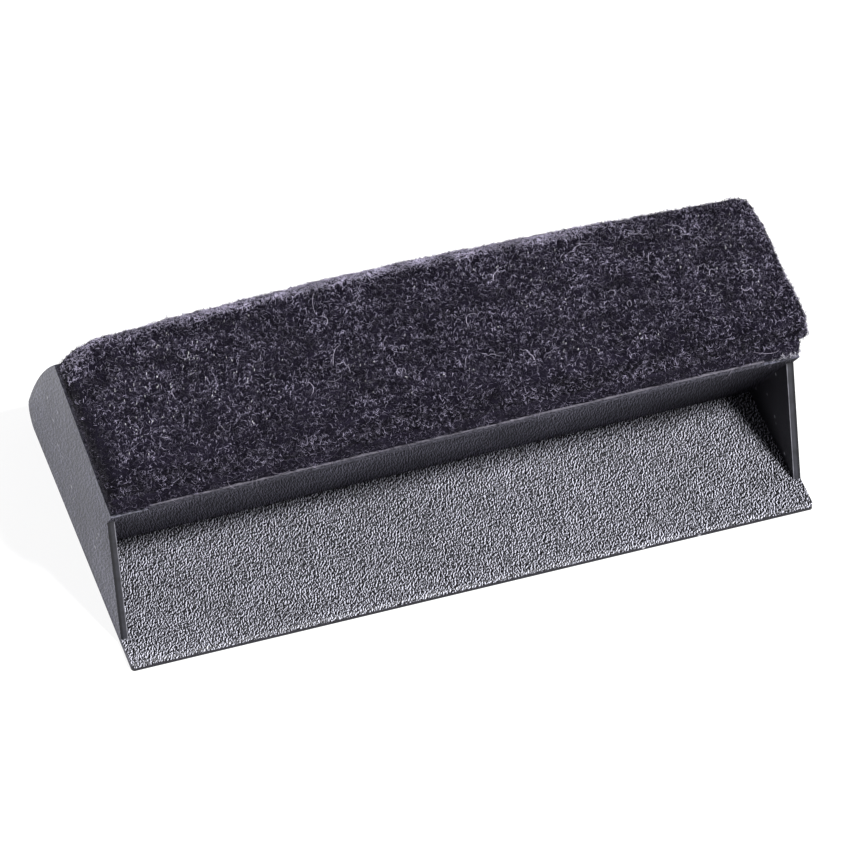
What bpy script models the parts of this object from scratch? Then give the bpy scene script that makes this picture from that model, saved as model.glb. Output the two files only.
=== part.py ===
"""Chalkboard eraser: a moulded holder with a chalk pocket, magnets inside and a thick pile wiping pad.

Metres, +Z up. The eraser lies on its flat back plate, with the long way along X, the pocket's mouth
towards -Y and the wiping face up. The origin is the centre of its outline, on the resting face.

The cross-section is drawn in profile coordinates: s runs back from the tip of the tray and h runs up
from the resting face. The pad side is tilted, so its pieces use t, back from the lip along that
plane, and n, square to it.
"""

from math import asin, atan2, cos, pi, radians, sin, sqrt

import bmesh
import bpy
from mathutils import Matrix, Vector

MM = 0.001
GAP = 0.3 * MM  # between pieces that touch

# Holder
LENGTH = 150 * MM
DEPTH = 77.5 * MM
WALL = 1.6 * MM
TRAY_CORNER = 1.2 * MM  # seen from above
GUIDE_SLACK = 0.05 * MM  # keeps the corner guide's faces off the holder's own
TIP_TOP_RADIUS = 1 * MM
TIP_BOTTOM_RADIUS = 0.4 * MM
LIP = Vector((11.9, 34.4)) * MM  # front edge of the pad side
BACK_TOP = Vector((53.5, 39.1)) * MM  # rear edge of the pad side
RISER_FOOT = Vector((35.7, 1.6)) * MM  # where the pocket's slanted wall meets the tray
WALL_FOOT = 8.1 * MM  # how far back the end walls start
WALL_TOP_DROP = 4.8 * MM  # how far below the lip the end walls' front edges meet the riser
HEEL_RADIUS = 4 * MM
BACK_RADIUS = 150 * MM  # bow of the rear face

# Hollow
OPENING_LENGTH = 130 * MM
OPENING_INSET = 0.3 * MM
RIB_X = 24 * MM
RIB = 1.2 * MM

# Pad side, measured square to the tilted plane
CARRIER_LENGTH = 134 * MM
CARRIER_WIDTH = 41 * MM
CARRIER = 1.3 * MM
SKIRT = 1.2 * MM
SKIRT_DEPTH = 1.6 * MM
SKIRT_FRONT = 4 * MM
SKIRT_WIDTH = 33 * MM
TAPE = 0.3 * MM
FELT_LENGTH = 149 * MM
FELT = 3.5 * MM
FELT_EDGE = 0.5 * MM
PILE_LENGTH = 151 * MM
PILE_FRONT = 7.7 * MM  # pile height above the felt at the front
PILE_BACK = 5.6 * MM  # and at the back
PILE_WIDTH = 41 * MM
PILE_BACK_ROUND = 6.5 * MM
PILE_EDGE = 1.5 * MM

# Magnets
MAGNET_SIZE = Vector((40, 18, 5)) * MM
MAGNET_TAPE = 0.8 * MM
MAGNET_X = 49 * MM
MAGNET_S = 56 * MM
MAGNET_EDGE = 0.4 * MM

MAIN = "chalkboard_eraser"
FAR = 200 * MM  # well outside the object

TILT = atan2(BACK_TOP.y - LIP.y, BACK_TOP.x - LIP.x)
PAD_BACK = Vector((cos(TILT), sin(TILT)))  # unit vectors of t and n in the profile
PAD_UP = Vector((-sin(TILT), cos(TILT)))


def clear_scene():
    for obj in list(bpy.data.objects):
        bpy.data.objects.remove(obj)


def new_collection(name):
    collection = bpy.data.collections.new(name)
    bpy.context.scene.collection.children.link(collection)
    return collection


def material(name, colour, roughness, metallic=0.0):
    made = bpy.data.materials.new(name)
    made.use_nodes = True
    shader = made.node_tree.nodes["Principled BSDF"]
    shader.inputs["Base Color"].default_value = (*colour, 1)
    shader.inputs["Roughness"].default_value = roughness
    shader.inputs["Metallic"].default_value = metallic
    return made


# Outlines


def arc(centre, radius, start, end, steps):
    """Points on an arc, with angles in radians, both ends included."""
    angles = [start + (end - start) * i / steps for i in range(steps + 1)]
    return [centre + radius * Vector((cos(a), sin(a))) for a in angles]


def rear_centre():
    """Centre of the rear face's bow, which passes through BACK_TOP and runs smoothly into the heel."""
    heel = heel_centre()
    gap = heel - BACK_TOP
    inner = BACK_RADIUS - HEEL_RADIUS
    along = (BACK_RADIUS**2 - inner**2 + gap.length_squared) / (2 * gap.length)
    aside = sqrt(BACK_RADIUS**2 - along**2)
    forward = gap.normalized()
    return BACK_TOP + along * forward + aside * Vector((forward.y, -forward.x))


def heel_centre():
    return Vector((DEPTH - HEEL_RADIUS, HEEL_RADIUS))


def angle_of(vector):
    return atan2(vector.y, vector.x)


def rear_outline(inset, top_angle):
    """The rear face and heel from the plate up, moved in by inset, to top_angle round the bow."""
    heel = heel_centre()
    centre = rear_centre()
    join = angle_of(heel - centre)
    lower = arc(heel, HEEL_RADIUS - inset, -pi / 2, join, 8)
    upper = arc(centre, BACK_RADIUS - inset, join, top_angle, 8)
    return lower + upper[1:]


def riser_direction():
    """Unit vector up the pocket's slanted wall."""
    return (LIP - RISER_FOOT).normalized()


def on_riser(h, inset=0.0):
    """The point of the slanted wall at height h, moved into the hollow by inset."""
    up = riser_direction()
    start = RISER_FOOT + inset * Vector((up.y, -up.x))
    return start + up * ((h - start.y) / up.y)


def holder_outline():
    """The holder from the side, from the tray's tip round by the plate, the rear and the lip."""
    top, bottom = TIP_TOP_RADIUS, TIP_BOTTOM_RADIUS
    tip = arc(Vector((top, WALL - top)), top, pi / 2, pi, 4)
    tip += arc(Vector((bottom, bottom)), bottom, pi, 1.5 * pi, 3)
    rear_top = angle_of(BACK_TOP - rear_centre())
    wall_foot = Vector((WALL_FOOT, WALL))
    wall_top = on_riser(LIP.y - WALL_TOP_DROP)
    return tip + rear_outline(0, rear_top) + [LIP, wall_top, wall_foot]


def pocket_outline():
    """The pocket behind the end walls' feet, which opens out forward and up."""
    foot = Vector((WALL_FOOT, WALL))
    return [foot, RISER_FOOT, on_riser(DEPTH), Vector((-DEPTH, DEPTH)), Vector((-DEPTH, DEPTH / 2))]


def hollow_outline():
    """The hollow, from the plate up to the underside of the ledges at its ends."""
    rear = rear_at_plane(-WALL)
    rear_side = rear_outline(WALL, angle_of(rear - rear_centre()))
    return [on_riser(WALL, WALL), *rear_side, front_at_plane(-WALL)]


def opening_outline():
    """The mouth of the hollow, a little narrower than the hollow and through the pad side."""
    low, high = -WALL - OPENING_INSET, 3 * WALL
    inset = OPENING_INSET * PAD_BACK
    front = [front_at_plane(high) + inset, front_at_plane(low) + inset]
    return front + [rear_at_plane(low) - inset, rear_at_plane(high) - inset]


def front_at_plane(n):
    """Where the inside of the slanted wall meets the plane that lies n above the pad side."""
    start, up = on_riser(WALL, WALL), riser_direction()
    return start + up * ((n - (start - LIP).dot(PAD_UP)) / up.dot(PAD_UP))


def rear_at_plane(n):
    """Where the inside of the rear wall meets the plane that lies n above the pad side."""
    start = LIP + n * PAD_UP - rear_centre()
    half = start.dot(PAD_BACK)
    reach = sqrt(half**2 - start.length_squared + (BACK_RADIUS - WALL) ** 2) - half
    return rear_centre() + start + reach * PAD_BACK


def pile_outline():
    """The pile's cross-section in t and n, with the top sinking to the back and a rounded rear edge."""
    low = 4 * GAP + CARRIER + TAPE + FELT
    drop = atan2(PILE_FRONT - PILE_BACK, PILE_WIDTH)
    radius = PILE_BACK_ROUND
    centre = Vector((PILE_WIDTH - radius, low + PILE_BACK - radius * cos(drop)))
    start = asin((low - centre.y) / radius)
    rounded = arc(centre, radius, start, pi / 2 - drop, 8)
    return [Vector((0, low)), *rounded, Vector((0, low + PILE_FRONT))]


# Solids


def outline_curve(name, points, width):
    curve = bpy.data.curves.new(name, "CURVE")
    curve.dimensions = "2D"
    curve.fill_mode = "BOTH"
    curve.extrude = width / 2
    line = curve.splines.new("POLY")
    line.points.add(len(points) - 1)
    for point, place in zip(line.points, points, strict=True):
        point.co = (place.x, place.y, 0, 1)
    line.use_cyclic_u = True
    return bpy.data.objects.new(name, curve)


def as_mesh(obj, collection):
    """Turns a filled outline into a closed mesh object of the same name and place."""
    bpy.context.scene.collection.objects.link(obj)
    bpy.context.view_layer.update()
    graph = bpy.context.evaluated_depsgraph_get()
    mesh = bpy.data.meshes.new_from_object(obj.evaluated_get(graph))
    name, place = obj.name, obj.matrix_world.copy()
    bpy.data.objects.remove(obj)
    work = bmesh.new()
    work.from_mesh(mesh)
    bmesh.ops.remove_doubles(work, verts=work.verts, dist=0.001 * MM)
    bmesh.ops.recalc_face_normals(work, faces=work.faces)
    work.to_mesh(mesh)
    work.free()
    made = bpy.data.objects.new(name, mesh)
    made.matrix_world = place
    collection.objects.link(made)
    return made


def side_prism(name, points, x_low, x_high, collection):
    """A prism along X of an outline in profile coordinates."""
    obj = outline_curve(name, points, x_high - x_low)
    obj.rotation_euler = (pi / 2, 0, pi / 2)
    obj.location = ((x_low + x_high) / 2, -DEPTH / 2, 0)
    return as_mesh(obj, collection)


def block(name, low, high, collection):
    work = bmesh.new()
    size = Vector(high) - Vector(low)
    middle = (Vector(high) + Vector(low)) / 2
    bmesh.ops.create_cube(work, size=1, matrix=Matrix.Translation(middle) @ Matrix.Diagonal((*size, 1)))
    mesh = bpy.data.meshes.new(name)
    work.to_mesh(mesh)
    work.free()
    made = bpy.data.objects.new(name, mesh)
    collection.objects.link(made)
    return made


def boolean(obj, operation, other):
    other.hide_render = True
    other.display_type = "WIRE"
    change = obj.modifiers.new(other.name, "BOOLEAN")
    change.operation = operation
    change.object = other
    return change


def bevel(obj, width, segments, limit):
    change = obj.modifiers.new("edges", "BEVEL")
    change.width = width
    change.segments = segments
    change.limit_method = "ANGLE"
    change.angle_limit = radians(limit)


def finish(obj, made_of):
    obj.data.materials.clear()
    obj.data.materials.append(made_of)
    obj.data.shade_smooth()
    obj.data.set_sharp_from_angle(angle=radians(35))


# Pieces


def body_shell(parts, cutters, made_of):
    half = LENGTH / 2
    shell = side_prism("body_shell", holder_outline(), -half, half, parts)
    inside = half - WALL
    boolean(shell, "DIFFERENCE", side_prism("pocket_cut", pocket_outline(), -inside, inside, cutters))
    bays = [(-inside, -RIB_X - RIB / 2), (-RIB_X + RIB / 2, RIB_X - RIB / 2), (RIB_X + RIB / 2, inside)]
    for number, (low, high) in enumerate(bays):
        bay = side_prism(f"bay_cut_{number}", hollow_outline(), low, high, cutters)
        boolean(shell, "DIFFERENCE", bay)
    reach = OPENING_LENGTH / 2
    boolean(shell, "DIFFERENCE", side_prism("opening_cut", opening_outline(), -reach, reach, cutters))
    boolean(shell, "INTERSECT", plan_guide(cutters))
    finish(shell, made_of)


def plan_guide(cutters):
    """A prism just larger than the holder seen from above, with the tray's two corners rounded."""
    side, front = LENGTH / 2 - TRAY_CORNER, TRAY_CORNER - DEPTH / 2
    radius = TRAY_CORNER + GUIDE_SLACK
    left = arc(Vector((-side, front)), radius, pi, 1.5 * pi, 6)
    right = arc(Vector((side, front)), radius, 1.5 * pi, 2 * pi, 6)
    rear = [Vector((side + radius, DEPTH)), Vector((-side - radius, DEPTH))]
    return as_mesh(outline_curve("plan_guide", left + right + rear, 2 * FAR), cutters)


def pad_frame(parts):
    """An empty on the lip, tilted with the pad side: its Y is t and its Z is n."""
    empty = bpy.data.objects.new("pad_frame", None)
    empty.location = (0, LIP.x - DEPTH / 2, LIP.y)
    empty.rotation_euler = (TILT, 0, 0)
    parts.objects.link(empty)
    return empty


def pad_carrier(parts, cutters, frame, made_of):
    half = CARRIER_LENGTH / 2
    carrier = block("pad_carrier", (-half, GAP, GAP), (half, CARRIER_WIDTH, GAP + CARRIER), parts)
    reach = OPENING_LENGTH / 2 - 2 * GAP
    back = SKIRT_FRONT + SKIRT_WIDTH
    lowest = GAP - SKIRT_DEPTH
    skirt = block("skirt", (-reach, SKIRT_FRONT, lowest), (reach, back, GAP + CARRIER / 2), cutters)
    inner_low = (-reach + SKIRT, SKIRT_FRONT + SKIRT, lowest - GAP)
    inner_high = (reach - SKIRT, back - SKIRT, GAP)
    inner = block("skirt_cut", inner_low, inner_high, cutters)
    for obj in (carrier, skirt, inner):
        obj.parent = frame
    boolean(carrier, "UNION", skirt)
    boolean(carrier, "DIFFERENCE", inner)
    finish(carrier, made_of)


def pad_tape(parts, frame, made_of):
    half = CARRIER_LENGTH / 2 - MM
    low = 2 * GAP + CARRIER
    tape = block("pad_tape", (-half, MM, low), (half, CARRIER_WIDTH - MM, low + TAPE), parts)
    tape.parent = frame
    finish(tape, made_of)


def felt_base(parts, frame, made_of):
    half = FELT_LENGTH / 2
    low = 3 * GAP + CARRIER + TAPE
    felt = block("felt_base", (-half, 0, low), (half, CARRIER_WIDTH, low + FELT), parts)
    felt.parent = frame
    bevel(felt, FELT_EDGE, 2, 30)
    finish(felt, made_of)


def pile_pad(parts, frame, made_of):
    pile = outline_curve("pile_pad", pile_outline(), PILE_LENGTH)
    pile.rotation_euler = (pi / 2, 0, pi / 2)
    pile = as_mesh(pile, parts)
    pile.parent = frame
    bevel(pile, PILE_EDGE, 3, 50)
    finish(pile, made_of)


def magnet(side, x, parts, iron, foam):
    size = MAGNET_SIZE
    y = MAGNET_S - DEPTH / 2
    low = WALL + GAP
    corner = Vector((x - size.x / 2, y - size.y / 2, low))
    tape = block(f"magnet_tape_{side}", corner, corner + Vector((size.x, size.y, MAGNET_TAPE)), parts)
    finish(tape, foam)
    corner.z = low + MAGNET_TAPE + GAP
    bar = block(f"magnet_{side}", corner, corner + size, parts)
    bevel(bar, MAGNET_EDGE, 2, 30)
    finish(bar, iron)


def main():
    clear_scene()
    parts = new_collection(MAIN)
    cutters = new_collection("cutters")
    frame = pad_frame(parts)
    body_shell(parts, cutters, material("black_abs", (0.03, 0.03, 0.035), 0.5))
    pad_carrier(parts, cutters, frame, material("black_board", (0.05, 0.05, 0.055), 0.45))
    pad_tape(parts, frame, material("adhesive_film", (0.45, 0.43, 0.4), 0.4))
    felt_base(parts, frame, material("grey_felt", (0.06, 0.058, 0.07), 0.95))
    pile_pad(parts, frame, material("dark_pile", (0.03, 0.027, 0.045), 0.95))
    iron = material("ferrite", (0.05, 0.05, 0.052), 0.55, 0.4)
    foam = material("foam_tape", (0.6, 0.6, 0.58), 0.8)
    magnet("left", -MAGNET_X, parts, iron, foam)
    magnet("right", MAGNET_X, parts, iron, foam)


main()
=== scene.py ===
"""Looks of the chalkboard eraser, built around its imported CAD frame.

Lengths called *_MM or handled by the pad's fields are in millimetres; everything else is in metres.
The pad's own coordinates are x along the eraser, t back from the holder's lip along the tilted pad
side, and n square to that side.
"""

from math import atan2, cos, pi, radians, sin

import bmesh
import bpy
import numpy as np
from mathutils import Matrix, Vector


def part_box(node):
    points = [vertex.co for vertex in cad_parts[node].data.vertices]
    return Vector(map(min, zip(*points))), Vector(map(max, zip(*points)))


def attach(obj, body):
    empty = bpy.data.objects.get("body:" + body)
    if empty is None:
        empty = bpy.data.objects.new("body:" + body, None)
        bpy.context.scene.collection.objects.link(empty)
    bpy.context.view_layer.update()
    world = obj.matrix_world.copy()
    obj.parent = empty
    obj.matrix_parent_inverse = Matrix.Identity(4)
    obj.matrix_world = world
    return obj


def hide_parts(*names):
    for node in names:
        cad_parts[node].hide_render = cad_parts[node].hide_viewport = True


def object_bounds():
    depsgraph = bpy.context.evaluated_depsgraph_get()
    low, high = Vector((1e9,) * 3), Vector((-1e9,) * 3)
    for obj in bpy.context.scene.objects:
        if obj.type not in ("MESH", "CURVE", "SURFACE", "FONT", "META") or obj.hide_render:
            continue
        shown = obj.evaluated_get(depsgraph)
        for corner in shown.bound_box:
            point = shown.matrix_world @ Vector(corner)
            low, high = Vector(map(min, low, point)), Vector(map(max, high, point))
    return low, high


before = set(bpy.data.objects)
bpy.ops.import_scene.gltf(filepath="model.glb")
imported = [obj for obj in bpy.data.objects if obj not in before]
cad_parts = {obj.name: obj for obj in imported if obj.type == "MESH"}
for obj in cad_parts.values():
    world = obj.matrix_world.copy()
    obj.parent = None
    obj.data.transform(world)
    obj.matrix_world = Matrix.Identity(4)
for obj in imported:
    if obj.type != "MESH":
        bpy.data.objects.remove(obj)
cad_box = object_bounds()

MM = 0.001
SHELL_LOW, SHELL_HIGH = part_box("body_shell")
LIP = Vector((11.9, 34.4)) * MM  # the holder's lip and rear top edge, as in the CAD profile
BACK_TOP = Vector((53.5, 39.1)) * MM
RISER_FOOT = Vector((35.7, 1.6)) * MM
TILT = atan2(BACK_TOP.y - LIP.y, BACK_TOP.x - LIP.x)
LIP_Y = SHELL_LOW.y + LIP.x
FOOT_Y = SHELL_LOW.y + RISER_FOOT.x
HALF_MM = (SHELL_HIGH.x - SHELL_LOW.x) / 2 / MM
CARRIER_FRONT, CARRIER_TOP = -0.14 * MM, 1.5 * MM  # where its front edge shows above the lip
WALL = 1.7 * MM  # just over the end walls' thickness
SEED = 41

# The pad's own sizes, in millimetres
FELT_TOP_MM = 6.0
PILE_BACK_MM = 40.7
FELT_BACK_MM = 40.8
CORNER_BACK_MM = 41
FELT_LOW_MM, FELT_DROOP_MM = 1.6, 1.35  # the felt's underside, and how far it droops past the carrier

# How far the lit side of a ridge lies from its top, in cells of the drawn-out grain
LIT_SIDE = (0.55, -0.12, 0)
# Places in the list of the shell's materials, after the fine grain at 0
TRAY, RISER, SMOOTH_SHADED, WALL_EDGE, END = range(1, 6)


# Node materials


def node(tree, kind, settings=None, **inputs):
    """A node with its settings, and its inputs given as values or as sockets to link from."""
    made = tree.nodes.new(kind)
    for key, value in (settings or {}).items():
        setattr(made, key, value)
    for key, value in inputs.items():
        socket = made.inputs[int(key[1:])] if key[0] == "_" else made.inputs[key.replace("_", " ")]
        if isinstance(value, bpy.types.NodeSocket):
            tree.links.new(value, socket)
        else:
            socket.default_value = value
    return made


def new_material(name, roughness, **sockets):
    """A Principled material, its tree, its shader and the object coordinates."""
    made = bpy.data.materials.new(name)
    made.use_nodes = True
    tree = made.node_tree
    shader = tree.nodes["Principled BSDF"]
    shader.inputs["Roughness"].default_value = roughness
    for key, value in sockets.items():
        shader.inputs[key.replace("_", " ")].default_value = value
    place = node(tree, "ShaderNodeTexCoord").outputs["Object"]
    return made, tree, shader, place


def noise_of(tree, place, scale, detail=2.0, roughness=0.5, distortion=0.0):
    settings = {"Scale": scale, "Detail": detail, "Roughness": roughness, "Distortion": distortion}
    return node(tree, "ShaderNodeTexNoise", Vector=place, **settings).outputs["Fac"]


def ramp(tree, value, low, high, to_low=0.0, to_high=1.0):
    """value mapped from low..high to to_low..to_high, and held there outside."""
    return node(tree, "ShaderNodeMapRange", _0=value, _1=low, _2=high, _3=to_low, _4=to_high).outputs[0]


def maths(tree, operation, first, second=0.0):
    return node(tree, "ShaderNodeMath", {"operation": operation}, _0=first, _1=second).outputs[0]


def dot(tree, place, axis):
    made = node(tree, "ShaderNodeVectorMath", {"operation": "DOT_PRODUCT"}, _0=place, _1=axis)
    return made.outputs["Value"]


def coordinate(tree, place, axis):
    return node(tree, "ShaderNodeSeparateXYZ", Vector=place).outputs[axis]


def mixed(tree, factor, first, second):
    made = node(tree, "ShaderNodeMix", {"data_type": "RGBA"}, _0=factor, _6=first, _7=second)
    return made.outputs[2]


def bump(tree, shader, height, distance):
    made = node(tree, "ShaderNodeBump", Height=height, Distance=distance, Strength=1.0)
    tree.links.new(made.outputs[0], shader.inputs["Normal"])


def specks(tree, place, scale, threshold):
    """1 in small scattered spots."""
    made = node(tree, "ShaderNodeTexVoronoi", Vector=place, Scale=scale)
    chosen = node(tree, "ShaderNodeTexWhiteNoise", _0=made.outputs["Position"]).outputs["Value"]
    near = ramp(tree, made.outputs["Distance"], 0.16, 0.3, 1.0, 0.0)
    return maths(tree, "MULTIPLY", near, ramp(tree, chosen, threshold, threshold + 0.001))


def scaled_tone(tree, tone, factor):
    return node(tree, "ShaderNodeVectorMath", {"operation": "SCALE"}, _0=tone, Scale=factor).outputs[0]


def shell_material(name, colour, roughness, grain, depth, shine, pit_shade=0.7, drawn=None):
    """Black moulded plastic with a fine grain, given by its size, its depth and the tone of its
    hollows, darkened as painted shade.

    drawn is the two directions of a drawn-out grain laid over it, in cells per metre, its ridges
    painted lit on one flank and shaded on the other.
    """
    made, tree, shader, place = new_material(name, roughness, Specular_IOR_Level=shine)
    shade = noise_of(tree, place, 60, 3)
    fine = noise_of(tree, place, 1 / grain, 3, 0.62)
    dark = tuple(c * 0.88 for c in colour) + (1,)
    light = tuple(c * 1.14 for c in colour) + (1,)
    tone = mixed(tree, ramp(tree, shade, 0.35, 0.65), dark, light)
    # Darker in the grain's hollows and lighter on its tops: the plastic's tone, and painted shade in
    # the hollows.
    tone = scaled_tone(tree, tone, ramp(tree, fine, 0.33, 0.67, pit_shade, 2 - pit_shade))
    if drawn:
        # Painted light and shade: each ridge of the drawn-out grain is lighter on its lit flank and
        # darker on the other.
        flank = ridged(tree, place, *drawn)[1]
        tone = scaled_tone(tree, tone, ramp(tree, flank, -0.12, 0.15, 0.54, 1.52))
    tone = mixed(tree, specks(tree, place, 620, 0.975), tone, (0.25, 0.25, 0.27, 1))
    tree.links.new(tone, shader.inputs["Base Color"])
    rough = ramp(tree, fine, 0.3, 0.7, roughness - 0.06, roughness + 0.06)
    tree.links.new(rough, shader.inputs["Roughness"])
    bump(tree, shader, fine, depth)
    return made


def ridged(tree, place, across, along):
    """Drawn-out grain as its height and the lit flank of each ridge.

    across and along give its two directions in cells per metre.
    """
    x, y = dot(tree, place, across), dot(tree, place, along)
    cells = node(tree, "ShaderNodeCombineXYZ", X=x, Y=y).outputs[0]
    beside = node(tree, "ShaderNodeVectorMath", {"operation": "ADD"}, _0=cells, _1=LIT_SIDE).outputs[0]
    height = noise_of(tree, cells, 1, 1.0, 0.5, 0.5)
    return height, maths(tree, "SUBTRACT", noise_of(tree, beside, 1, 1.0, 0.5, 0.5), height)


def riser_material():
    """The pocket's slanted wall: a fine drawn-out grain with its ridges' flanks painted light and dark,
    and a painted shadow darkening it into the right end.
    """
    made, tree, shader, place = new_material("riser_grain_painted_shade", 0.6, Specular_IOR_Level=0.02)
    height, flank = ridged(tree, place, (3200, -364, 502), (435, -190, 262))
    along = coordinate(tree, place, "X")
    patches = ramp(tree, noise_of(tree, place, 70, 3), 0.3, 0.7, 0.75, 1.3)
    # Painted shadow: darker towards the right end, where the right end wall shades the riser.
    end = ramp(tree, along, 35 * MM, 68 * MM, 1.0, 0.45)
    # Painted light and shade: each ridge lighter on its lit flank and darker on the other.
    lit = ramp(tree, flank, -0.1, 0.2, 0.05, 3.6)
    shade = maths(tree, "MULTIPLY", maths(tree, "MULTIPLY", patches, end), lit)
    tree.links.new(scaled_tone(tree, (0.034, 0.033, 0.042), shade), shader.inputs["Base Color"])
    bump(tree, shader, height, 0.2 * MM)
    return made


def wall_edge_material():
    """The end walls' front edges: a painted highlight along the inner edge and painted shade on the
    outer corner.
    """
    made, tree, shader, place = new_material("wall_edge", 0.5, Specular_IOR_Level=0.3)
    across = maths(tree, "ABSOLUTE", coordinate(tree, place, "X"))
    outer = SHELL_HIGH.x
    # Painted shade: a dark strip along the outer corner.
    dark = ramp(tree, across, outer - 0.75 * MM, outer - 0.4 * MM)
    # Painted highlight: a light strip along the inner edge.
    inner_edge_highlight = ramp(tree, across, outer - 1.38 * MM, outer - 1.5 * MM)
    streaks = ramp(tree, noise_of(tree, place, 300, 3, 0.7), 0.35, 0.65, 0.6, 1.3)
    tone = mixed(tree, dark, (0.018, 0.018, 0.023, 1), (0.004, 0.004, 0.006, 1))
    tone = mixed(tree, inner_edge_highlight, tone, (0.13, 0.13, 0.15, 1))
    tree.links.new(scaled_tone(tree, tone, streaks), shader.inputs["Base Color"])
    bump(tree, shader, noise_of(tree, place, 2400, 2), 0.06 * MM)
    return made


def tray_material():
    """The pocket's floor: a coarse ridged grain, which stops just short of the slanted wall, with
    painted highlights: pale tones on the lit flank of each ridge stand in for its glints.
    """
    made, tree, shader, place = new_material("tray_grain_painted_glints", 0.32, Specular_IOR_Level=0.2)
    worms, flank = ridged(tree, place, (2850, -930, 0), (470, 1446, 1483))
    depth = coordinate(tree, place, "Y")
    margin = ramp(tree, depth, FOOT_Y - 1.3 * MM, FOOT_Y - 0.7 * MM, 1.0, 0.06)
    height = maths(tree, "MULTIPLY", ramp(tree, worms, 0.25, 0.75), margin)
    patches = ramp(tree, noise_of(tree, place, 90, 3), 0.3, 0.7)
    # Painted highlights: these tones are far lighter than the black plastic, and with the lit flank
    # raised to a power below they paint each ridge light on one side and dark on the other.
    tone = mixed(tree, patches, (0.42, 0.42, 0.48, 1), (0.52, 0.52, 0.6, 1))
    lit = maths(tree, "POWER", ramp(tree, flank, -0.14, 0.16), 4.3)
    tone = scaled_tone(tree, tone, lit)
    tree.links.new(tone, shader.inputs["Base Color"])
    rough = ramp(tree, worms, 0.35, 0.65, 0.5, 0.26)
    tree.links.new(rough, shader.inputs["Roughness"])
    bump(tree, shader, height, 0.12 * MM)
    return made


def cloth_material(name, dark, light, grain, depth):
    """Fuzzy body under the fibres, mottled in patches."""
    made, tree, shader, place = new_material(name, 0.95, Specular_IOR_Level=0.04)
    patches = noise_of(tree, place, 260, 3, 0.6)
    fine = noise_of(tree, place, 1 / grain, 4, 0.65, 0.6)
    tone = mixed(tree, ramp(tree, patches, 0.35, 0.65), (*dark, 1), (*light, 1))
    # Darker in the fine grain's hollows: the cloth's tone, and painted shade in the hollows.
    pit_shade = ramp(tree, fine, 0.35, 0.6, 0.45, 1.1)
    tree.links.new(scaled_tone(tree, tone, pit_shade), shader.inputs["Base Color"])
    bump(tree, shader, fine, depth)
    return made


def fibre_material(name, colour, shine=0.22):
    made, tree, shader, place = new_material(name, 0.5, Specular_IOR_Level=shine)
    patches = ramp(tree, noise_of(tree, place, 170, 3), 0.35, 0.65)
    low = tuple(c * 0.5 for c in colour) + (1,)
    high = tuple(min(1.0, c * 1.4) for c in colour) + (1,)
    tree.links.new(mixed(tree, patches, low, high), shader.inputs["Base Color"])
    return made


def plain_material(name, first, second, roughness, grain, metallic=0.0):
    """A hidden piece's finish: two near tones and a fine roughness."""
    made, tree, shader, place = new_material(name, roughness, Metallic=metallic)
    fine = noise_of(tree, place, 1 / grain, 3)
    tree.links.new(mixed(tree, fine, (*first, 1), (*second, 1)), shader.inputs["Base Color"])
    bump(tree, shader, fine, 0.03 * MM)
    return made


# Meshes


def placed(name, mesh):
    """A new object in the scene with this mesh."""
    made = bpy.data.objects.new(name, mesh)
    bpy.context.scene.collection.objects.link(made)
    return made


def softened_copy(node_name, piece_name, width, materials):
    """The CAD node's shape with its edges rounded, standing for it."""
    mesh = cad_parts[node_name].data.copy()
    mesh.name = piece_name
    mesh.materials.clear()
    for made_of in materials:
        mesh.materials.append(made_of)
    work = bmesh.new()
    work.from_mesh(mesh)
    bmesh.ops.remove_doubles(work, verts=work.verts, dist=0.002 * MM)
    bmesh.ops.dissolve_limit(work, angle_limit=radians(0.4), verts=work.verts, edges=work.edges)
    for face in work.faces:
        face.material_index = 0
        face.smooth = True
    work.to_mesh(mesh)
    work.free()
    made = placed(piece_name, mesh)
    edges = made.modifiers.new("edges", "BEVEL")
    edges.width = width
    edges.segments = 2
    edges.limit_method = "ANGLE"
    edges.angle_limit = radians(24)
    edges.harden_normals = True
    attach(made, "root")
    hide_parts(node_name)
    return made


def hashed(corner, seed):
    """A number from -1 to 1 for each whole-numbered lattice corner."""
    mixed_up = corner @ np.array([374761393, 668265263, 1274126177]) + seed * 974711
    mixed_up = (mixed_up ^ (mixed_up >> 13)) * 1274126177
    return ((mixed_up ^ (mixed_up >> 16)) & 0xFFFF) / 32767.5 - 1


def lumps(points, size, seed):
    """Smooth noise from -1 to 1 with lumps of the given size."""
    scaled = points / size
    cell = np.floor(scaled).astype(np.int64)
    part = scaled - cell
    part = part * part * (3 - 2 * part)
    total = np.zeros(len(points))
    for corner in np.ndindex(2, 2, 2):
        weight = np.prod(np.where(corner, part, 1 - part), axis=1)
        total += weight * hashed(cell + np.array(corner), seed)
    return total


def to_world(pad):
    """Metres in the row frame from the pad's x, t, n in millimetres."""
    x, t, n = (pad * MM).T
    y, z = LIP_Y + t * cos(TILT) - n * sin(TILT), LIP.y + t * sin(TILT) + n * cos(TILT)
    return np.stack([x, y, z], axis=1)


def to_pad(place):
    """A world point's t and n in metres."""
    y, z = place.y - LIP_Y, place.z - LIP.y
    return y * cos(TILT) + z * sin(TILT), z * cos(TILT) - y * sin(TILT)


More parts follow.
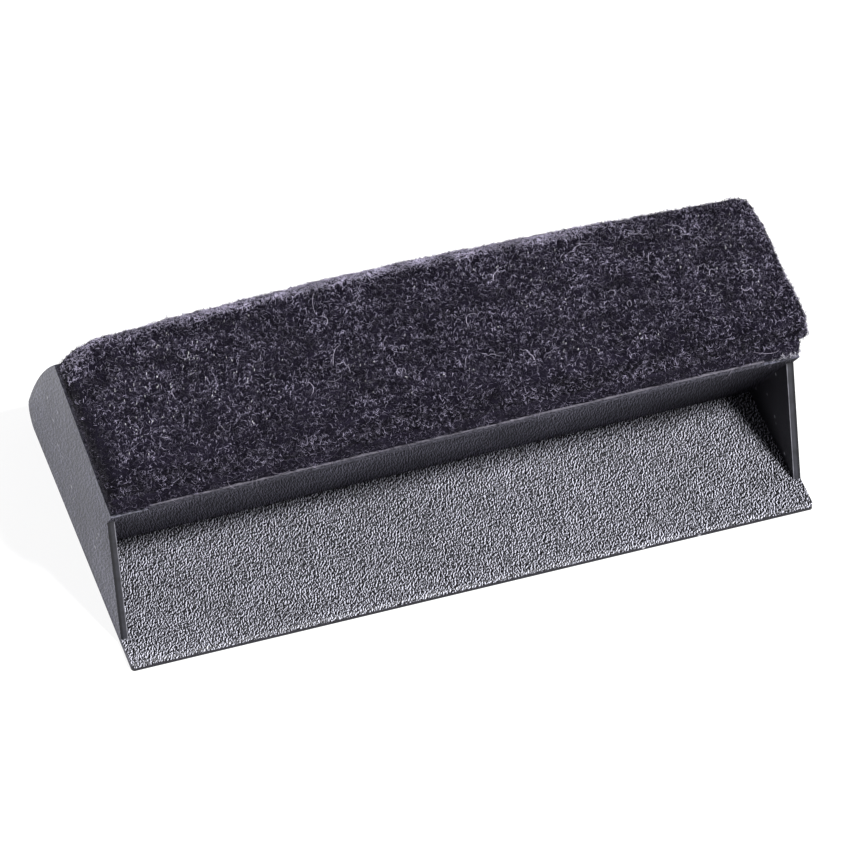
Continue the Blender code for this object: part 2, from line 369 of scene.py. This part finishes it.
def box_grid(low, high, cell):
    """Points and square faces all over a box, as one closed mesh."""
    counts = [max(2, round((b - a) / cell)) for a, b in zip(low, high, strict=True)]
    lines = [np.linspace(a, b, c + 1) for a, b, c in zip(low, high, counts, strict=True)]
    points, quads = [], []
    total = 0
    for axis in range(3):
        u, v = (axis + 1) % 3, (axis + 2) % 3
        for side in (0, 1):
            grid = np.zeros((counts[u] + 1, counts[v] + 1, 3))
            grid[..., u] = lines[u][:, None]
            grid[..., v] = lines[v][None, :]
            grid[..., axis] = (low, high)[side][axis]
            index = total + np.arange(grid.shape[0] * grid.shape[1]).reshape(grid.shape[:2])
            total += index.size
            loop = [index[:-1, :-1], index[1:, :-1], index[1:, 1:], index[:-1, 1:]]
            quads.append(np.stack(loop if side else loop[::-1], axis=-1).reshape(-1, 4))
            points.append(grid.reshape(-1, 3))
    points = np.concatenate(points)
    _, first, index = np.unique(np.round(points, 4), axis=0, return_index=True, return_inverse=True)
    return points[first], index.reshape(-1)[np.concatenate(quads)]


def round_meet(first, second, radius):
    """The inside of both fields, with the edge between them rounded."""
    corner = np.hypot(np.maximum(first + radius, 0), np.maximum(second + radius, 0))
    return np.minimum(-radius, np.maximum(first, second)) + corner


def gradient(field, points):
    step = 0.02
    slopes = [(field(points + axis) - field(points - axis)) / (2 * step) for axis in np.eye(3) * step]
    return np.stack(slopes, axis=1)


def pulled_onto(field, points):
    """The points moved onto the field's zero surface, and the unit normals there."""
    for _ in range(7):
        slope = gradient(field, points)
        move = field(points)[:, None] * slope / np.maximum((slope**2).sum(1), 1e-4)[:, None]
        points = points - np.clip(move, -1.5, 1.5)
    slope = gradient(field, points)
    return points, slope / np.linalg.norm(slope, axis=1)[:, None]


# The pad's two layers, as fields that are negative inside


def smooth_step(value, low, high):
    part = np.clip((value - low) / (high - low), 0, 1)
    return part * part * (3 - 2 * part)


def pile_top(x, t):
    """Height of the pile's top, shaped by wear, which bows along its rear edge and sinks towards the
    right.
    """
    along = np.abs((x + 12) / 52) ** 1.6
    sunk = 0.5 * smooth_step(x, 56, 70) * smooth_step(t, 20, 40)
    return 14.0 - 0.051 * t + (0.6 - 2.0 * along) * smooth_step(t, 10, 42) - sunk


def pile_field(points):
    x, t, n = points.T
    wander = lumps(points, 6.0, SEED)
    top = n - pile_top(x, t)
    back = t - PILE_BACK_MM - 0.55 * smooth_step(x, 56, 68) - 0.1 * wander
    left = -x - HALF_MM - 0.55 - 0.2 * wander
    tucked = 0.6 * np.clip(n - 6.5, 0, 1.2) + 0.16 * np.maximum(n - 8, 0)
    right = x - HALF_MM - 1.9 + tucked - 0.45 * wander
    front = -t - 0.25 - 0.25 * wander
    corner = ((-x - HALF_MM) + (t - CORNER_BACK_MM)) / 1.5 + 0.42 * n - 0.05
    right_corner = ((x - HALF_MM) + (t - CORNER_BACK_MM)) / 1.45 + 0.1 * n - 1.5
    solid = round_meet(top, back, 5.5)
    solid = round_meet(solid, corner, 4.0)
    solid = round_meet(solid, right_corner, 3.0)
    solid = round_meet(solid, left, 2.0)
    solid = round_meet(solid, right, 1.7)
    solid = round_meet(solid, front, 2.2)
    return round_meet(solid, FELT_TOP_MM - n, 0.5)


def felt_low(x):
    """The felt's underside, which droops to the lip beyond the carrier's ends."""
    left = smooth_step(-x, 66.6, 67.6)
    right = smooth_step(x, 66.0, 71.0)
    return FELT_LOW_MM - FELT_DROOP_MM * np.maximum(left, right)


def felt_field(points):
    x, t, n = points.T
    wander = lumps(points, 4.0, SEED + 1)
    drawn_in = 0.45 * smooth_step(x, 42, 66)  # at its rear, under the pile's sunken right end
    solid = round_meet(n - FELT_TOP_MM, t - FELT_BACK_MM + drawn_in - 0.15 * wander, 0.8)
    corner = ((-x - HALF_MM) + (t - CORNER_BACK_MM)) / 1.5 + 0.42 * n + 0.1
    solid = round_meet(solid, corner, 2.0)
    solid = round_meet(solid, -x - HALF_MM + 0.15 - 0.15 * wander, 0.8)
    solid = round_meet(solid, x - HALF_MM + 0.35 - 0.25 * wander, 0.8)
    droop = (FELT_LOW_MM - felt_low(x)) / FELT_DROOP_MM
    solid = round_meet(solid, -t - 0.1 - 0.25 * droop - 0.2 * wander, 0.5)
    return round_meet(solid, felt_low(x) - n, 0.4)


def pad_layer(name, field, low, high, cell, rough, made_of):
    """A layer of the pad as a closed mesh, with its pad-side points, faces and normals."""
    points, quads = box_grid(low, high, cell)
    points, normals = pulled_onto(field, points)
    lift = sum(depth * lumps(points, size, SEED + 3 + i) for i, (size, depth) in enumerate(rough))
    points = points + normals * lift[:, None]
    mesh = bpy.data.meshes.new(name)
    mesh.from_pydata(to_world(points).tolist(), [], quads.tolist())
    mesh.materials.append(made_of)
    mesh.shade_smooth()
    made = placed(name, mesh)
    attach(made, "root")
    return made, points, quads, normals


# Fibres


def scattered(points, quads, normals, count, rng, allowed):
    """Random places on the part of a mesh that allowed() weighs above 0, with the normals there."""
    corners = points[quads]
    across, down = corners[:, 2] - corners[:, 0], corners[:, 3] - corners[:, 1]
    area = np.linalg.norm(np.cross(across, down), axis=1) / 2
    area = area * allowed(corners.mean(1), normals[quads].mean(1))
    chosen = rng.choice(len(quads), count, p=area / area.sum())
    a, b = rng.random((2, count, 1))
    weights = np.concatenate([(1 - a) * (1 - b), a * (1 - b), a * b, (1 - a) * b], axis=1)[..., None]
    place = (corners[chosen] * weights).sum(1)
    normal = (normals[quads[chosen]] * weights).sum(1)
    return place, normal / np.linalg.norm(normal, axis=1)[:, None]


def unit(vectors):
    return vectors / np.maximum(np.linalg.norm(vectors, axis=-1, keepdims=True), 1e-9)


def lying_paths(place, normal, rng, length, rise, curl, knots):
    """Paths of fibres that lie in the pile: out of the surface, over in a curl and back in."""
    count = len(place)
    swirl = pi * (lumps(place, 5.0, SEED + 9) + 0.6 * rng.normal(size=count))
    across = unit(np.cross(normal, np.where(np.abs(normal[:, :1]) > 0.8, [[0, 1.0, 0]], [[1.0, 0, 0]])))
    ahead = np.cross(across, normal)
    size = rng.uniform(*length, count)
    bend = rng.normal(0, curl, count)
    high = rng.uniform(*rise, count)
    steps = np.linspace(-0.5, 0.5, knots)
    angle = swirl[:, None] + bend[:, None] * steps
    direction = np.cos(angle)[..., None] * ahead[:, None] + np.sin(angle)[..., None] * across[:, None]
    stride = size[:, None, None] / (knots - 1) * direction
    path = np.cumsum(stride, axis=1)
    path = path - path[:, knots // 2][:, None] + place[:, None]
    arch = np.cos(pi * steps) * (1 + 0.35 * rng.normal(size=(count, knots)))
    lift = high[:, None] * arch - 0.12
    return path + lift[..., None] * normal[:, None]


def standing_paths(place, normal, rng, length, lean, curl, knots=5):
    """Paths of fibres that stand out of the surface with a free tip."""
    count = len(place)
    side = unit(rng.normal(size=(count, 3)))
    direction = unit(normal + lean * rng.random((count, 1)) * side)
    turn = unit(np.cross(direction, rng.normal(size=(count, 3))))
    size = rng.uniform(*length, count)[:, None, None]
    bend = rng.normal(0, curl, count)[:, None, None]
    steps = np.linspace(0, 1, knots)[None, :, None]
    path = direction[:, None] * steps * size + turn[:, None] * bend * size * steps**2
    return place[:, None] + path - 0.15 * normal[:, None]


def fibre_piece(name, paths, radius, made_of):
    """One piece of three-sided closed fibres, pointed at both ends."""
    count, knots = paths.shape[:2]
    along = unit(np.gradient(paths, axis=1))
    helper = np.where(np.abs(along[..., :1]) > 0.8, [[[0, 1.0, 0]]], [[[1.0, 0, 0]]])
    out = unit(np.cross(along, helper))
    side = np.cross(along, out)
    width = np.asarray(radius).reshape(-1, 1, 1) * np.ones((count, 1, 1))
    width = width * (0.75 + 0.25 * np.sin(np.linspace(0, pi, knots))[None, :, None])
    ring = [paths + width * (cos(a) * out + sin(a) * side) for a in (0, 2 * pi / 3, 4 * pi / 3)]
    rings = np.stack(ring, axis=2)[:, 1:-1].reshape(count, -1, 3)
    points = np.concatenate([paths[:, :1], rings, paths[:, -1:]], axis=1)
    inner = knots - 2
    faces = []
    for k in range(3):
        j = (k + 1) % 3
        faces.append([0, 1 + j, 1 + k, 1 + k])
        last = 1 + 3 * (inner - 1)
        faces.append([last + k, last + j, 3 * inner + 1, 3 * inner + 1])
        for r in range(inner - 1):
            a = 1 + 3 * r
            faces.append([a + k, a + j, a + 3 + j, a + 3 + k])
    pattern = np.array(faces)
    all_faces = (pattern[None] + (np.arange(count) * points.shape[1])[:, None, None]).reshape(-1, 4)
    sizes = np.where(all_faces[:, 2] == all_faces[:, 3], 3, 4)
    keep = np.ones_like(all_faces, bool)
    keep[sizes == 3, 3] = False
    mesh = bpy.data.meshes.new(name)
    flat = to_world(points.reshape(-1, 3))
    mesh.vertices.add(len(flat))
    mesh.vertices.foreach_set("co", flat.astype(np.float32).ravel())
    mesh.loops.add(int(sizes.sum()))
    mesh.loops.foreach_set("vertex_index", all_faces[keep].astype(np.int32))
    mesh.polygons.add(len(sizes))
    starts = np.concatenate([[0], np.cumsum(sizes)[:-1]])
    mesh.polygons.foreach_set("loop_start", starts.astype(np.int32))
    mesh.update(calc_edges=True)
    mesh.validate()
    mesh.shade_smooth()
    mesh.materials.append(made_of)
    made = placed(name, mesh)
    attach(made, "root")


# Pieces


def build_shell():
    grain = (0.056, 0.056, 0.073), 0.5, 1.15 * MM, 0.34 * MM
    fine = shell_material("shell_fine_grain", *grain, pit_shade=0.45, shine=0.15)
    drawn = (0, -660, 0), (0, 1450, 1490)
    end = shell_material("shell_end_grain_painted_flanks", *grain, pit_shade=0.6, shine=0.15, drawn=drawn)
    # Painted shade: a much darker copy of the plastic, for the end walls' inner faces and the thin
    # front face of the tray's tip, which lie in shade.
    smooth = shell_material("wall_smooth_painted_shade", (0.009, 0.0085, 0.012), 0.5, 0.5 * MM, 0.04 * MM, shine=0.25)
    materials = [fine, tray_material(), riser_material(), smooth, wall_edge_material(), end]
    shell = softened_copy("body_shell", "shell", 0.22 * MM, materials)
    wall = SHELL_HIGH.x - WALL
    for face in shell.data.polygons:
        place, normal = face.center, face.normal
        inside = abs(place.x) < wall and place.y < FOOT_Y + MM
        if place.y < FOOT_Y and normal.z > 0.3 and place.z < 2 * MM:
            face.material_index = TRAY
        elif place.y < SHELL_LOW.y + 1.1 * MM and normal.z > -0.5 and normal.y < -0.1:
            # The thin front face of the tray's tip: painted shade.
            face.material_index = SMOOTH_SHADED
        elif inside and normal.y < -0.5 and place.z > 2 * MM:
            face.material_index = RISER
        elif abs(normal.x) > 0.9 and place.x * normal.x < 0 and place.y < FOOT_Y:
            # The end walls' inner faces: painted shade.
            face.material_index = SMOOTH_SHADED
        elif abs(place.x) > wall and normal.y < -0.6 and place.z > 2 * MM:
            face.material_index = WALL_EDGE
        elif abs(normal.x) > 0.9 and place.x * normal.x > 0:
            face.material_index = END


def build_carrier():
    made, tree, shader, place = new_material("carrier_board", 0.6, Specular_IOR_Level=0.03)
    up = dot(tree, place, (0, -sin(TILT), cos(TILT)))
    top = -LIP_Y * sin(TILT) + LIP.y * cos(TILT) + CARRIER_TOP
    # Painted highlight: a thin light line along the top of the carrier's front edge, broken up by the
    # streaks.
    edge = ramp(tree, up, top - 0.3 * MM, top - 0.18 * MM)
    streaks = ramp(tree, noise_of(tree, place, 160, 4, 0.7), 0.35, 0.65, 0.3, 1.0)
    grain = noise_of(tree, place, 1 / (0.45 * MM), 3)
    # Darker in the grain's hollows and lighter on its tops: the plastic's tone, and painted shade in
    # the hollows.
    dark = scaled_tone(tree, (0.035, 0.034, 0.043), ramp(tree, grain, 0.36, 0.64, 0.3, 1.7))
    tone = mixed(tree, maths(tree, "MULTIPLY", edge, streaks), dark, (0.1, 0.094, 0.112, 1))
    tree.links.new(tone, shader.inputs["Base Color"])
    bump(tree, shader, grain, 0.2 * MM)
    carrier = softened_copy("pad_carrier", "carrier", 0.12 * MM, [made])
    for point in carrier.data.vertices:
        t, n = to_pad(point.co)
        if t < MM:
            t = CARRIER_FRONT
        if n > MM:
            n = CARRIER_TOP
        elif t < MM:
            n = 0.03 * MM
        point.co.y = LIP_Y + t * cos(TILT) - n * sin(TILT)
        point.co.z = LIP.y + t * sin(TILT) + n * cos(TILT)


def build_pad():
    rng = np.random.default_rng(SEED)
    cell = 0.6
    dark, light = (0.005, 0.004, 0.008), (0.013, 0.011, 0.019)
    cloth = cloth_material("base_felt", dark, light, 0.35 * MM, 0.25 * MM)
    box = ((-HALF_MM, 0, FELT_LOW_MM), (HALF_MM, CORNER_BACK_MM, FELT_TOP_MM))
    felt, *felt_grid = pad_layer("felt_layer", felt_field, *box, cell, [(1.5, 0.12)], cloth)
    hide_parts("felt_base")

    dark, light = (0.003, 0.0025, 0.005), (0.009, 0.0075, 0.014)
    cloth = cloth_material("pile_body", dark, light, 0.4 * MM, 0.35 * MM)
    box = ((-HALF_MM - 0.6, 0, 6.1), (HALF_MM + 1.8, CORNER_BACK_MM, 13.0))
    rough = [(3.2, 0.2), (1.4, 0.18)]
    pile, *pile_grid = pad_layer("pile_block", pile_field, *box, cell, rough, cloth)
    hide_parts("pile_pad")

    def lying(name, grid, count, length, rise, radius, colour, allowed, curl=1.8, shine=0.2,
              knots=4):
        """One piece of lying fibres on a layer's grid, its sizes in millimetres."""
        amount = count
        place, normal = scattered(*grid, amount, rng, allowed)
        paths = lying_paths(place, normal, rng, length, rise, curl, knots)
        radii = radius * rng.uniform(0.7, 1.3, amount)
        fibre_piece(name, paths, radii, fibre_material(name, colour, shine=shine))

    lying("pile_fibres_deep", pile_grid, 8000, (1.0, 2.6), (0.1, 0.35), 0.06,
          (0.005, 0.0042, 0.0075), not_below, shine=0.08)
    lying("pile_fibres_dark", pile_grid, 11000, (0.8, 2.2), (0.15, 0.5), 0.05,
          (0.015, 0.0127, 0.022), not_below)
    lying("pile_fibres_mid", pile_grid, 13500, (0.5, 1.9), (0.2, 0.6), 0.04,
          (0.064, 0.057, 0.084), off_left_side, curl=1.2)
    lying("pile_fibres_pale", pile_grid, 8800, (0.4, 1.4), (0.25, 0.7), 0.036,
          (0.28, 0.26, 0.35), off_left_side, curl=1.3, knots=5)
    # Pale fibres along the rounded rear edge: painted sheen.
    lying("pile_rear_band_painted_sheen", pile_grid, 5200, (0.8, 2.2), (0.1, 0.45), 0.05,
          (0.3, 0.278, 0.367), at_rear_edge)
    lying("pile_lint", pile_grid, 240, (0.2, 0.5), (0.5, 0.8), 0.055,
          (0.62, 0.62, 0.65), linty)
    lying("pile_long_strays", pile_grid, 36, (3.0, 7.0), (0.6, 0.9), 0.045,
          (0.32, 0.3, 0.38), on_top, curl=2.6, knots=11)
    lying("felt_fibres", felt_grid, 2600, (0.8, 2.2), (0.1, 0.5), 0.05,
          (0.012, 0.01, 0.02), at_rim, curl=1.6)
    lying("felt_fibres_mid", felt_grid, 2600, (0.5, 1.8), (0.15, 0.6), 0.046,
          (0.06, 0.054, 0.079), at_rim, curl=1.6)
    lying("felt_fibres_pale", felt_grid, 1300, (0.4, 1.4), (0.2, 0.6), 0.04,
          (0.15, 0.135, 0.19), at_rim, curl=1.6)
    lying("felt_frays", felt_grid, 140, (0.5, 1.6), (0.3, 0.7), 0.045,
          (0.4, 0.39, 0.45), at_right_fray, curl=1.6)

    amount = 4500
    place, normal = scattered(*pile_grid, amount, rng, not_below)
    paths = standing_paths(place, normal, rng, (0.4, 1.1), 1.6, 0.35)
    radii = 0.036 * rng.uniform(0.7, 1.2, amount)
    fibre_piece("pile_fuzz", paths, radii, fibre_material("pile_fuzz", (0.05, 0.045, 0.065)))

    strays = hanging_paths(rng, 11)
    fibre_piece("hanging_strays", strays, 0.034, fibre_material("hanging_strays", (0.22, 0.2, 0.25)))


def hanging_paths(rng, count, knots=11):
    """Loose fibres that come out of the pad's front face and hang over the lip."""
    x = rng.uniform(-HALF_MM + 6, HALF_MM - 4, count)
    start = np.stack([x, np.full(count, -0.15), rng.uniform(2.2, 5.0, count)], axis=1)
    ahead = [rng.normal(0, 0.9, count), np.full(count, -0.35), np.full(count, -1.0)]
    ahead = unit(np.stack(ahead, axis=1))
    turn = rng.normal(0, 0.9, (count, 1, 1))
    size = rng.uniform(1.6, 4.0, (count, 1, 1))
    steps = np.linspace(0, 1, knots)[None, :, None]
    aside = unit(np.cross(ahead, [0, 1.0, 0]))
    path = ahead[:, None] * steps * size + aside[:, None] * turn * size * steps**2
    path = start[:, None] + path
    path[..., 1] = -0.15 - 0.9 * np.sin(pi * steps[..., 0] * 0.6)
    return path


def not_below(centre, normal):
    return (normal[:, 2] > -0.5) * 1.0


def off_left_side(centre, normal):
    """Most of the pile, sparing its left side, which is kept dark as painted shade."""
    return not_below(centre, normal) * np.where(normal[:, 0] < -0.25, 0.12, 1.0)


def on_top(centre, normal):
    inside = (np.abs(centre[:, 0]) < HALF_MM - 4) & (centre[:, 1] > 3) & (centre[:, 1] < 35)
    return (inside & (normal[:, 2] > 0.9)) * 1.0


def linty(centre, normal):
    """The top again, mostly in a few patches that have picked up lint."""
    return on_top(centre, normal) * np.maximum(lumps(centre, 14.0, SEED + 12) + 0.25, 0.03)


def at_rear_edge(centre, normal):
    """The rounded top rear edge, most in the middle of its length and thinly round the left corner:
    pale fibres here are painted sheen.
    """
    share = (0.3 + 0.7 * smooth_step(centre[:, 0], -60, -34)) * (1 - smooth_step(centre[:, 0], 28, 56))
    share = share * (0.75 + 0.5 * lumps(centre, 9.0, SEED + 11))
    backward = np.maximum(normal[:, 1], (normal[:, 1] - normal[:, 0]) / 1.4)
    rounded = (normal[:, 2] > 0.1) & (centre[:, 1] > 28)
    return np.maximum(share, 0) * smooth_step(backward, 0.06, 0.3) * rounded


def at_rim(centre, normal):
    """The felt's sides, which are all of it that shows."""
    return (np.abs(normal[:, 2]) < 0.8) * 1.0


def at_right_fray(centre, normal):
    """The felt's frayed front end on the right."""
    x, t, n = centre.T
    return smooth_step(x, 58, 74) * (t < 1) * (n < 1.2 + 1.5 * (x > 70))


def build_hidden():
    """The pieces sealed inside keep their CAD shapes and get their finishes."""
    film = (0.4, 0.38, 0.34), (0.52, 0.5, 0.46)
    ferrite = (0.04, 0.04, 0.042), (0.07, 0.07, 0.073)
    foam = (0.5, 0.5, 0.47), (0.68, 0.68, 0.65)
    finishes = {
        "pad_tape": plain_material("adhesive_film", *film, 0.4, 1.2 * MM),
        "magnet_left": plain_material("ferrite", *ferrite, 0.55, 0.4 * MM, metallic=0.4),
        "magnet_tape_left": plain_material("foam_tape", *foam, 0.85, 0.3 * MM),
    }
    finishes["magnet_right"] = finishes["magnet_left"]
    finishes["magnet_tape_right"] = finishes["magnet_tape_left"]
    for name, made_of in finishes.items():
        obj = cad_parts[name]
        obj.data.materials.clear()
        obj.data.materials.append(made_of)


# Studio


def build_floor():
    glow = {"Specular_IOR_Level": 0.2, "Emission_Strength": 0.82}  # so that shadows nearly vanish
    made, tree, shader, place = new_material("floor_paper", 0.9, **glow)
    tone = mixed(tree, noise_of(tree, place, 3, 2), (0.18, 0.18, 0.18, 1), (0.2, 0.2, 0.2, 1))
    tree.links.new(tone, shader.inputs["Base Color"])
    shader.inputs["Emission Color"].default_value = (1, 1, 1, 1)
    size = 3.0
    points = np.array([(-size, -size, 0), (size, -size, 0), (size, size, 0), (-size, size, 0)], float)
    points[:, 2] = cad_box[0].z - 0.02 * MM
    mesh = bpy.data.meshes.new("floor")
    mesh.from_pydata(points.tolist(), [], [(0, 1, 2, 3)])
    mesh.materials.append(made)
    placed("floor", mesh)


def aimed(obj, direction, distance, target):
    """Puts the object that far from the target and turns it to face it."""
    direction = Vector(direction).normalized()
    obj.location = target + direction * distance
    obj.rotation_euler = (-direction).to_track_quat("-Z", "Y").to_euler()
    bpy.context.scene.collection.objects.link(obj)


def soft_light(name, direction, distance, width, height, power):
    lamp = bpy.data.lights.new(name, "AREA")
    lamp.shape = "RECTANGLE"
    lamp.size, lamp.size_y = width, height
    lamp.energy = power
    aimed(bpy.data.objects.new(name, lamp), direction, distance, Vector((0, 0, 0.02)))


def build_studio():
    build_floor()
    world = bpy.data.worlds.new("studio")
    world.use_nodes = True
    sky = world.node_tree.nodes["Background"]
    sky.inputs["Color"].default_value = (0.95, 0.95, 1.0, 1)
    sky.inputs["Strength"].default_value = 0.35
    bpy.context.scene.world = world
    soft_light("key", (0.33, -0.73, 1.1), 1.3, 0.16, 0.16, 44.0)
    soft_light("left_back", (-1.0, 0.55, 0.42), 1.1, 0.7, 0.5, 12.0)
    bpy.context.scene.view_settings.view_transform = "Standard"


def build_camera():
    lens = bpy.data.cameras.new("camera")
    lens.sensor_width = 36
    lens.lens = 321.5
    lens.clip_start, lens.clip_end = 0.1, 20
    azimuth, elevation = radians(-18.06), radians(45.76)
    back = Vector((sin(azimuth) * cos(elevation), -cos(azimuth) * cos(elevation), sin(elevation)))
    right = Vector((cos(azimuth), sin(azimuth), 0))
    target = Vector((-1.0, -6.6, 20.0)) * MM + 0.27 * MM * right - 1.16 * MM * back.cross(right)
    camera = bpy.data.objects.new("camera", lens)
    aimed(camera, back, 1.5955, target)
    bpy.context.scene.camera = camera


build_shell()
build_carrier()
build_pad()
build_hidden()
build_studio()
build_camera()
